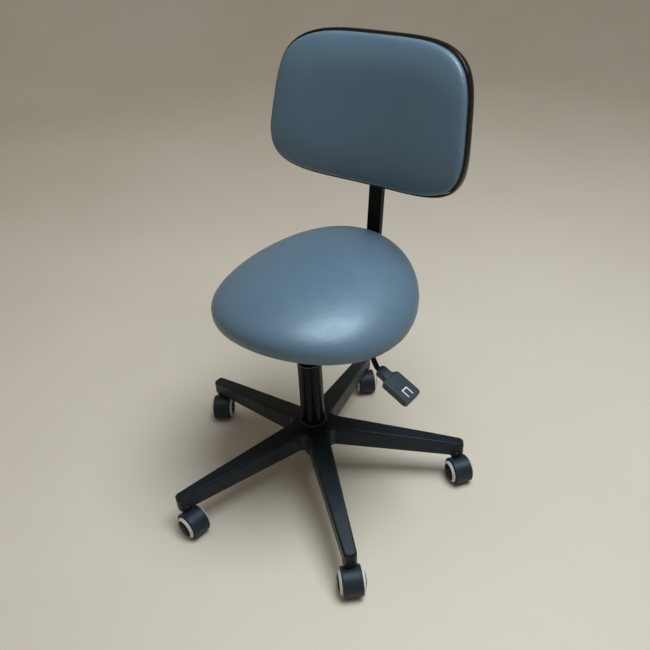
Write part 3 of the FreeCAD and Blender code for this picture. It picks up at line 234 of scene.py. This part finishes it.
def vinylFinish(name, look):
    # smooth upholstery vinyl: faint blotches, pebble grain under a soft sheen, fine pale flecks on a patch
    # where the highlight falls, partly scuffs and partly a painted glint
    finish, tree, shader, coords = newFinish(name)
    base = mixColours(tree, cloudOn(tree, coords, look["blotch"]), look["shade"], look["colour"])
    # painted glint: pale flecks on a patch placed where the highlight falls on the seat front, partly scuffs
    # and partly the glint of that highlight on them
    away = tree.nodes.new("ShaderNodeVectorMath")
    away.operation = "DISTANCE"
    tree.links.new(coords, away.inputs[0])
    away.inputs[1].default_value = look["scuffGlintAt"]
    patch = remap(tree, away.outputs["Value"], look["scuffGlintReach"], look["scuffGlintCore"], 0.0, 1.0)
    flecks = cloudOn(tree, coords, look["scuffGlint"], span=look["scuffGlintSpan"])
    fleck = mathOn(tree, "MULTIPLY", flecks, mathOn(tree, "MULTIPLY", patch, look["fleckShare"]))
    tree.links.new(mixColours(tree, fleck, base, look["fleck"]), shader.inputs["Base Color"])
    uneven = cloudOn(tree, coords, look["uneven"], look["rough"] - look["smoother"],
                     look["rough"] + look["rougher"])
    wearAndGlint = mathOn(tree, "MULTIPLY", fleck, look["fleckRough"])
    tree.links.new(mathOn(tree, "ADD", uneven, wearAndGlint), shader.inputs["Roughness"])
    pebble = bumpFrom(tree, cellsOn(tree, coords, look["grain"]), look["grainStrength"], look["grainDepth"])
    creases = noiseOn(tree, coords, *look["crease"])
    tree.links.new(bumpFrom(tree, creases, look["creaseStrength"], look["creaseDepth"], pebble),
                   shader.inputs["Normal"])
    shader.inputs["Specular IOR Level"].default_value = look["gloss"]
    shader.inputs["Specular Tint"].default_value = look["glint"]
    return finish


plyLook = dict(stretch=(6, 60, 60), streak=(8, 5), dark=linear(150, 116, 78), pale=linear(196, 164, 120),
               rough=0.6, grainStrength=0.3, grainDepth=0.0001)


def plyFinish(name, look):
    # birch ply: streaky grain that runs across the chair
    finish, tree, shader, coords = newFinish(name)
    grain = tree.nodes.new("ShaderNodeMapping")
    grain.inputs["Scale"].default_value = look["stretch"]
    tree.links.new(coords, grain.inputs["Vector"])
    streak = cloudOn(tree, grain.outputs["Vector"], look["streak"])
    tree.links.new(mixColours(tree, streak, look["dark"], look["pale"]), shader.inputs["Base Color"])
    shader.inputs["Roughness"].default_value = look["rough"]
    tree.links.new(bumpFrom(tree, streak, look["grainStrength"], look["grainDepth"]), shader.inputs["Normal"])
    return finish


coolGlint = (0.8, 0.92, 1.0, 1.0)
finishes = dict(
    vinyl=vinylFinish("blueGreyVinyl", vinylLook),
    nylon=mouldedFinish("charcoalNylon", linear(26, 33, 39), linear(92, 103, 112), rough=0.4, grain=900,
                        depth=0.00005, edge=0.0018, shine=0.3, glint=coolGlint),
    hood=mouldedFinish("castorNylon", linear(31, 41, 51), linear(80, 92, 104), rough=0.5, grain=1100,
                       depth=0.00004, edge=0.0018, shine=0.4, glint=coolGlint),
    wheel=mouldedFinish("wheelNylon", linear(8, 9, 10), linear(40, 43, 47), rough=0.5, grain=800,
                        depth=0.00004, edge=0.001, shine=0.1),
    ring=mouldedFinish("whiteRing", linear(222, 224, 224), linear(205, 204, 198), rough=0.38, grain=700,
                       depth=0.00003, edge=0.001),
    column=mouldedFinish("columnBlack", linear(5, 8, 9), linear(30, 33, 36), rough=0.24, grain=120,
                         depth=0.000004, edge=0.001, shine=0.13, glint=coolGlint),
    paint=paintedFinish("powderBlack", linear(8, 9, 9), rough=0.42, peel=620, depth=0.00006, edge=0.0012,
                        shine=0.18),
    gloss=mouldedFinish("trimBlack", linear(12, 13, 15), linear(46, 48, 52), rough=0.16, grain=240,
                        depth=0.000006, edge=0.0008, shine=0.6),
    cover=mouldedFinish("coverBlack", linear(30, 31, 33), linear(66, 68, 71), rough=0.52, grain=1000,
                        depth=0.00009, edge=0.0012),
    pan=mouldedFinish("panBlack", linear(27, 28, 30), linear(60, 62, 66), rough=0.55, grain=700,
                      depth=0.00008, edge=0.0015),
    # painted sheen: the paddle's grey-blue colour is paler than its black plastic and stands for the
    # reflection on its top face
    paddle=mouldedFinish("paddleGreySheen", linear(39, 50, 59), linear(66, 75, 84), rough=0.36, grain=1000,
                         depth=0.00005, edge=0.0012, shine=0.55, glint=coolGlint),
    acetal=mouldedFinish("paleAcetal", linear(214, 211, 200), linear(228, 226, 218), rough=0.4, grain=500,
                         depth=0.00003, edge=0.0006),
    steel=metalFinish("zincSteel", linear(176, 177, 178), rough=0.34, scratch=900, edge=0.0006),
    chrome=metalFinish("rodChrome", linear(206, 207, 209), rough=0.12, scratch=500, edge=0.0005),
    ply=plyFinish("birchPly", plyLook),
)
print("finishes:", len(finishes))

castorWords = ["left", "rear", "right", "front_right", "front_left"]
nodeFinish = dict(
    star_base="nylon", hub_collar="nylon", column_tube="column", guide_sleeve="gloss",
    thrust_bearing="acetal", castor_stems="steel", piston_rod="chrome", piston="acetal", rod_clip="steel",
    gas_cylinder="column", release_pin="steel", mechanism_channel="paint", seat_plate="paint", seat_pan="pan",
    seat_screws="steel", back_bar="paint", bar_bolts="steel", lever_pivot="steel", lever_rod="paint",
    lever_paddle="paddle", back_bracket="pan", back_tilt_pin="steel", clamp_knob="pan", back_hinge="paint",
    back_board="ply", back_cover="cover", back_trim="gloss", back_screws="steel", seat_pad="vinyl",
    back_pad="vinyl")
for word in castorWords:
    nodeFinish[f"castor_{word}_hood"] = "hood"
    nodeFinish[f"castor_{word}_axle"] = "steel"
    for side in (1, 2):
        nodeFinish[f"castor_{word}_wheel_{side}"] = "wheel"
        nodeFinish[f"castor_{word}_ring_{side}"] = "ring"


def dress(piece, finish):
    piece.data.materials.clear()
    piece.data.materials.append(finishes[finish])


for name, finish in nodeFinish.items():
    dress(nodes[name], finish)
print("dressed:", len(nodeFinish), "nodes")


# Mesh building blocks

def meshPiece(name, points, faces, finish):
    mesh = bpy.data.meshes.new(name)
    mesh.from_pydata(np.asarray(points, float).reshape(-1, 3).tolist(), [], faces)
    mesh.update()
    mesh.polygons.foreach_set("use_smooth", np.ones(len(mesh.polygons), bool))
    piece = bpy.data.objects.new(name, mesh)
    scene.collection.objects.link(piece)
    dress(piece, finish)
    return piece


def gridFaces(rows, columns, closeRows=False):
    # quads between neighbouring rows and columns; columns always wrap round, rows where asked
    row, column = np.meshgrid(np.arange(rows if closeRows else rows - 1), np.arange(columns), indexing="ij")
    nextRow = (row + 1) % rows
    nextColumn = (column + 1) % columns
    corners = [row * columns + column, row * columns + nextColumn, nextRow * columns + nextColumn,
               nextRow * columns + column]
    return np.stack(corners, -1).reshape(-1, 4).tolist()


def cappedFaces(rows, columns):
    # the same grid, with its first and last row closed by one face each
    last = rows * columns
    return gridFaces(rows, columns) + [list(range(columns))[::-1], list(range(last - columns, last))]


def turnedAboutX(points, degrees, place):
    turn = math.radians(degrees)
    x, y, z = np.moveaxis(np.asarray(points, float), -1, 0)
    return np.stack([x + place[0], y * math.cos(turn) - z * math.sin(turn) + place[1],
                     y * math.sin(turn) + z * math.cos(turn) + place[2]], -1)


def squaredWave(wave, power):
    # a sine or cosine drawn towards its ends, so that a circle becomes a squared ellipse
    return np.sign(wave) * np.abs(wave) ** (2 / power)


# Cushions

filling = dict(quality=4, mass=0.25, stretch=20, bend=2.0, pressure=4, frames=20, cap=0.004, faired=3,
               eased=80)


def evened(values, edges, rounds):
    # every point moves halfway to the mean of its neighbours, again and again
    ends = np.concatenate([edges, edges[:, ::-1]])
    count = len(values)
    share = np.maximum(np.bincount(ends[:, 0], minlength=count), 1)
    for step in range(rounds):
        near = np.bincount(ends[:, 0], weights=values[ends[:, 1]], minlength=count) / share
        values = (values + near) / 2
    return values


def readPoints(mesh, field="co"):
    values = np.empty(len(mesh.vertices) * 3)
    mesh.vertices.foreach_get(field, values)
    return values.reshape(-1, 3)


def blow(piece, settings, isHeld):
    # cloth under pressure from inside, held where asked; gives the points after the last step
    group = piece.vertex_groups.new(name="held")
    group.add(np.nonzero(isHeld)[0].tolist(), 1.0, "REPLACE")
    cloth = piece.modifiers.new("fill", "CLOTH")
    cloth.settings.quality = settings["quality"]
    cloth.settings.mass = settings["mass"]
    cloth.settings.tension_stiffness = settings["stretch"]
    cloth.settings.compression_stiffness = settings["stretch"]
    cloth.settings.shear_stiffness = settings["stretch"] / 2
    cloth.settings.bending_stiffness = settings["bend"]
    cloth.settings.use_pressure = True
    cloth.settings.uniform_pressure_force = settings["pressure"]
    cloth.settings.vertex_group_mass = "held"
    cloth.settings.effector_weights.gravity = 0
    cloth.collision_settings.use_collision = False
    cloth.point_cache.frame_end = settings["frames"]
    for step in range(1, settings["frames"] + 1):
        scene.frame_set(step)
    blown = readPoints(piece.evaluated_get(bpy.context.evaluated_depsgraph_get()).data)
    piece.modifiers.remove(cloth)
    piece.vertex_groups.remove(group)
    scene.frame_set(1)
    return blown


def puff(piece, cell, settings, held):
    # remeshed in even cells, blown up like a filled cover while its rear side is held; the swelling that
    # this gives, capped and evened out as foam under tight vinyl does, is laid on the form along its normals
    bpy.context.view_layer.objects.active = piece
    piece.data.remesh_voxel_size = cell
    piece.data.use_remesh_fix_poles = False
    bpy.ops.object.voxel_remesh()
    edges = np.empty(len(piece.data.edges) * 2, int)
    piece.data.edges.foreach_get("vertices", edges)
    edges = edges.reshape(-1, 2)
    form = np.stack([evened(axis, edges, settings["faired"]) for axis in readPoints(piece.data).T], -1)
    piece.data.vertices.foreach_set("co", form.ravel())
    piece.data.update()
    normals = readPoints(piece.data, "normal")
    isHeld = held(form)
    swelling = np.full(len(form), settings["cap"] / 2)
    swelling = np.sum((blow(piece, settings, isHeld) - form) * normals, axis=1)
    middling = np.round(np.percentile(swelling, (5, 50, 95)) * 1000, 2)
    print(piece.name, len(form), "points, swelling", middling, "mm")
    swelling = np.where(isHeld, 0.0, np.clip(swelling, 0.0, settings["cap"]))
    swelling = evened(swelling, edges, settings["eased"])
    piece.data.vertices.foreach_set("co", (form + normals * swelling[:, None]).ravel())
    piece.data.update()


def finishPad(piece, node, body):
    piece.data.polygons.foreach_set("use_smooth", np.ones(len(piece.data.polygons), bool))
    smooth = piece.modifiers.new("round", "SUBSURF")
    smooth.levels = 1
    smooth.render_levels = 1
    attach(piece, body)
    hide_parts(node)


seatCushion = dict(halfWidth=0.199, front=0.192, rear=0.205, middle=0.027, under=0.0247, crown=0.0461,
                   sag=0.0368, sagAt=0.200, topRound=2.5, underRound=5.0, tilt=5.14, height=0.4328,
                   slack=-0.001, heldBelow=0.6, cell=0.005, around=120, topRings=34, lowRings=22, pole=0.001)


def makeSeatCushion(pad):
    # rings of ellipses from crown to rim to underside: the ring's size and height follow a rounded
    # arch with one power on top and another below, and the whole sags to the sides with the square of x
    around = np.linspace(0, 2 * np.pi, pad["around"], endpoint=False)
    top = np.linspace(pad["pole"], np.pi / 2, pad["topRings"])
    low = np.linspace(np.pi / 2, pad["pole"], pad["lowRings"])[1:]
    ringTop = squaredWave(np.sin(top), pad["topRound"])
    riseTop = squaredWave(np.cos(top), pad["topRound"])
    ringLow = squaredWave(np.sin(low), pad["underRound"])
    riseLow = squaredWave(np.cos(low), pad["underRound"])
    ring = np.concatenate([ringTop, ringLow])[:, None]
    rise = np.concatenate([(pad["crown"] - pad["slack"]) * riseTop, -pad["under"] * riseLow])[:, None]
    depth = np.where(np.sin(around) > 0, pad["rear"], pad["front"]) - pad["slack"]
    x = (pad["halfWidth"] - pad["slack"]) * ring * np.cos(around)
    y = pad["middle"] + depth * ring * np.sin(around)

    def sagged(x):
        return pad["under"] - pad["sag"] * (x / pad["sagAt"]) ** 2

    points = np.stack([x, y, sagged(x) + rise], -1)
    points = turnedAboutX(points, pad["tilt"], (0, 0, pad["height"]))[:, ::-1]
    piece = meshPiece("seatCushion", points, cappedFaces(len(ring), len(around)), "vinyl")

    def held(spots):
        local = turnedAboutX(spots - np.array([0, 0, pad["height"]]), -pad["tilt"], (0, 0, 0))
        return local[:, 2] < sagged(local[:, 0]) - pad["heldBelow"] * pad["under"]

    puff(piece, pad["cell"], filling, held)
    finishPad(piece, "seat_pad", "seat")
    return piece


backCushion = dict(halfWidth=0.2119, halfHeight=0.1395, inset=0.0040, squareness=3.96, taper=-0.07, bow=0.653,
                   crown=0.027, edge=0.006, roll=2.6, behind=0.0042, lean=-11.48, place=(0, 0.245, 0.7324),
                   slack=0.0008, heldDepth=0.002, cell=0.004, around=160, faceRings=36, pole=0.001,
                   tuckRing=(0.998, 0.992, 0.96, 0.8, 0.6, 0.4, 0.2, 0.001), tuckRise=(0.0, -0.003))


def backOutline(pad, inset, count):
    # a squared ellipse, a little wider at the bottom, with evenly turning angle
    angle = np.linspace(0, 2 * np.pi, count, endpoint=False) + 0.5 * np.pi / count
    across = squaredWave(np.cos(angle), pad["squareness"])
    up = squaredWave(np.sin(angle), pad["squareness"])
    x = (pad["halfWidth"] - inset) * across * (1 + pad["taper"] * up)
    return x, (pad["halfHeight"] - inset) * up


def bowOf(pad, x):
    return np.sqrt(pad["bow"] ** 2 - x ** 2) - pad["bow"]


def makeBackCushion(pad):
    # rings of the outline from the crown to the rim and in again behind; the face rises from the edge on a
    # rounded arch, the rear is flat, and everything is bent forward at the sides with the back's bow
    across, up = backOutline(pad, pad["inset"] + pad["slack"], pad["around"])
    face = np.linspace(pad["pole"], np.pi / 2, pad["faceRings"])
    faceRing = squaredWave(np.sin(face), pad["roll"])
    arch = squaredWave(np.cos(face), pad["roll"])
    faceRise = pad["edge"] + (pad["crown"] - pad["edge"] - pad["slack"]) * arch
    tuckRise = np.full(len(pad["tuckRing"]), -pad["behind"])
    tuckRise[:len(pad["tuckRise"])] = pad["tuckRise"]
    ring = np.concatenate([faceRing, pad["tuckRing"]])[:, None]
    rise = np.concatenate([faceRise, tuckRise])[:, None]
    x = ring * across
    z = ring * up
    points = np.stack([x, bowOf(pad, x) - rise, z], -1)
    points = turnedAboutX(points, pad["lean"], pad["place"])[:, ::-1]
    piece = meshPiece("backCushion", points, cappedFaces(len(ring), len(across)), "vinyl")

    def held(spots):
        local = turnedAboutX(spots - np.array(pad["place"]), -pad["lean"], (0, 0, 0))
        return local[:, 1] > bowOf(pad, local[:, 0]) - pad["heldDepth"]

    puff(piece, pad["cell"], filling, held)
    finishPad(piece, "back_pad", "backrest")
    return piece


makeSeatCushion(seatCushion)
makeBackCushion(backCushion)


# Back trim: a rounded black edge round the back rest

backTrim = dict(depth=0.016, wall=0.004, lip=0.0012, lipSpread=0.3, squareness=5.0, around=240, section=40)


def makeBackTrim(trim, pad):
    # a rounded strip section carried round the outline, bent with the back's bow
    across, up = backOutline(pad, 0.0, trim["around"])
    dx = np.roll(across, -1) - np.roll(across, 1)
    dz = np.roll(up, -1) - np.roll(up, 1)
    length = np.hypot(dx, dz)
    outX, outZ = dz / length, -dx / length
    angle = np.linspace(0, 2 * np.pi, trim["section"], endpoint=False)
    half = trim["wall"] / 2
    outward = half * squaredWave(np.cos(angle), trim["squareness"]) - half
    deep = trim["depth"] / 2 * (1 + squaredWave(np.sin(angle), trim["squareness"]))
    bulge = np.exp(-((deep / trim["depth"] - 0.5) / trim["lipSpread"]) ** 2)
    outward = outward + trim["lip"] * bulge * (outward > -half)
    x = across[:, None] + outX[:, None] * outward
    z = up[:, None] + outZ[:, None] * outward
    y = bowOf(pad, across)[:, None] + deep
    points = turnedAboutX(np.stack([x, y, z], -1), pad["lean"], pad["place"])
    piece = meshPiece("backTrim", points, gridFaces(len(across), len(angle), closeRows=True), "gloss")
    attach(piece, "backrest")
    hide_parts("back_trim")
    return piece


makeBackTrim(backTrim, backCushion)
print("back trim made")


# Lever mark: a plain bench sign on the paddle

leverMark = dict(elbow=(0.168, 0, 0.361), heading=-4.3, droop=24.0, face=0.0056, proud=0.0002, barAt=0.0625,
                 barLength=0.0150, barWidth=0.0027, legLength=0.0150, legWidth=0.0024)


def makeLeverMark(mark):
    # the outline of a bar with two legs, a thin layer on the paddle's sunk face
    half, bar = mark["barLength"] / 2, mark["barWidth"]
    inner, end = half - mark["legWidth"], bar + mark["legLength"]
    x = mark["barAt"] + np.array([0, 0, end, end, bar, bar, end, end])
    y = np.array([half, -half, -half, -inner, -inner, inner, inner, half])
    count = len(x)
    x, y = np.tile(x, 2), np.tile(y, 2)
    z = np.repeat([mark["face"] - mark["proud"], mark["face"] + mark["proud"]], count)
    droop, turn = math.radians(mark["droop"]), math.radians(mark["heading"])
    along = x * math.cos(droop) + z * math.sin(droop) + mark["elbow"][0]
    high = z * math.cos(droop) - x * math.sin(droop) + mark["elbow"][2]
    spots = np.stack([along * math.cos(turn) - y * math.sin(turn),
                      along * math.sin(turn) + y * math.cos(turn), high], -1)
    piece = meshPiece("leverMark", spots, cappedFaces(2, count), "ring")
    piece.data.polygons.foreach_set("use_smooth", np.zeros(len(piece.data.polygons), bool))
    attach(piece, "lever")
    return piece


makeLeverMark(leverMark)
print("lever mark made")


# Floor, light and camera

room = dict(level=3.2, sweep=1.6, wall=3.6, inner=(0.5, 3.0), around=96, sweepRings=10, cloud=(1.4, 5),
            dark=linear(214, 204, 188), pale=linear(221, 211, 196), rough=0.55)


def makeFloor(room):
    # rings from the middle outwards: level, then a quarter circle up, then a plain wall all round
    turn = np.linspace(0, np.pi / 2, room["sweepRings"])
    edge = room["level"] + room["sweep"]
    reach = np.concatenate([room["inner"], room["level"] + room["sweep"] * np.sin(turn), [edge]])
    height = np.concatenate([[0, 0], room["sweep"] * (1 - np.cos(turn)), [room["sweep"] + room["wall"]]])
    around = np.linspace(0, 2 * np.pi, room["around"], endpoint=False)[::-1]
    points = np.stack([reach[:, None] * np.cos(around), reach[:, None] * np.sin(around),
                       np.repeat(height[:, None], len(around), axis=1)], -1)
    faces = gridFaces(len(reach), len(around)) + [list(range(len(around)))[::-1]]
    finish, tree, shader, coords = newFinish("paleFloor")
    cloud = cloudOn(tree, coords, room["cloud"])
    tree.links.new(mixColours(tree, cloud, room["dark"], room["pale"]), shader.inputs["Base Color"])
    shader.inputs["Roughness"].default_value = room["rough"]
    finishes["floor"] = finish
    meshPiece("floor", points, faces, "floor")


softBox = dict(place=(0.74, 0.24, 2.73), target=(0, 0, 0.45), across=1.6, watts=63, colour=(0.86, 0.95, 1.0))
ceiling = dict(place=(0.2, 0.05, 2.0), target=(0, 0, 0), spread=60, strength=0.4)
air = dict(colour=(1.0, 0.97, 0.9, 1.0), strength=0.12)


def hang(light, place, target):
    # at one point, aimed at another
    lamp = bpy.data.objects.new(light.name, light)
    scene.collection.objects.link(lamp)
    ahead = np.array(target, float) - np.array(place, float)
    ahead /= np.linalg.norm(ahead)
    side = np.cross(ahead, (0, 0, 1.0))
    side /= np.linalg.norm(side)
    up = np.cross(side, ahead)
    lamp.matrix_world = Matrix([[side[i], up[i], -ahead[i], place[i]] for i in range(3)] + [[0, 0, 0, 1]])


def addSoftBox(box):
    light = bpy.data.lights.new("softBox", "AREA")
    light.shape = "DISK"
    light.size = box["across"]
    light.energy = box["watts"]
    light.color = box["colour"]
    hang(light, box["place"], box["target"])


def addCeiling(patch):
    # a faint round patch of ceiling, far away, for the rest of the floor
    light = bpy.data.lights.new("ceiling", "SUN")
    light.angle = math.radians(patch["spread"])
    light.energy = patch["strength"]
    hang(light, patch["place"], patch["target"])


def addAir(air):
    world = bpy.data.worlds.new("studio")
    world.use_nodes = True
    background = world.node_tree.nodes["Background"]
    background.inputs["Color"].default_value = air["colour"]
    background.inputs["Strength"].default_value = air["strength"]
    scene.world = world


makeFloor(room)
addAir(air)
addSoftBox(softBox)
addCeiling(ceiling)

photoCamera = dict(place=(0.6951, -0.8609, 1.1513), right=(0.8150, 0.5780, -0.0437),
                   up=(-0.3007, 0.4861, 0.8206), ahead=(-0.4955, 0.6556, -0.5699), lens=38.465, sensor=36.0)


def addCamera(view):
    lens = bpy.data.cameras.new("photoCamera")
    lens.lens = view["lens"]
    lens.sensor_width = view["sensor"]
    camera = bpy.data.objects.new("photoCamera", lens)
    scene.collection.objects.link(camera)
    columns = zip(view["right"], view["up"], [-v for v in view["ahead"]], view["place"])
    camera.matrix_world = Matrix([list(row) for row in columns] + [[0, 0, 0, 1]])
    scene.camera = camera


addCamera(photoCamera)
print("stage, lamps and camera set")
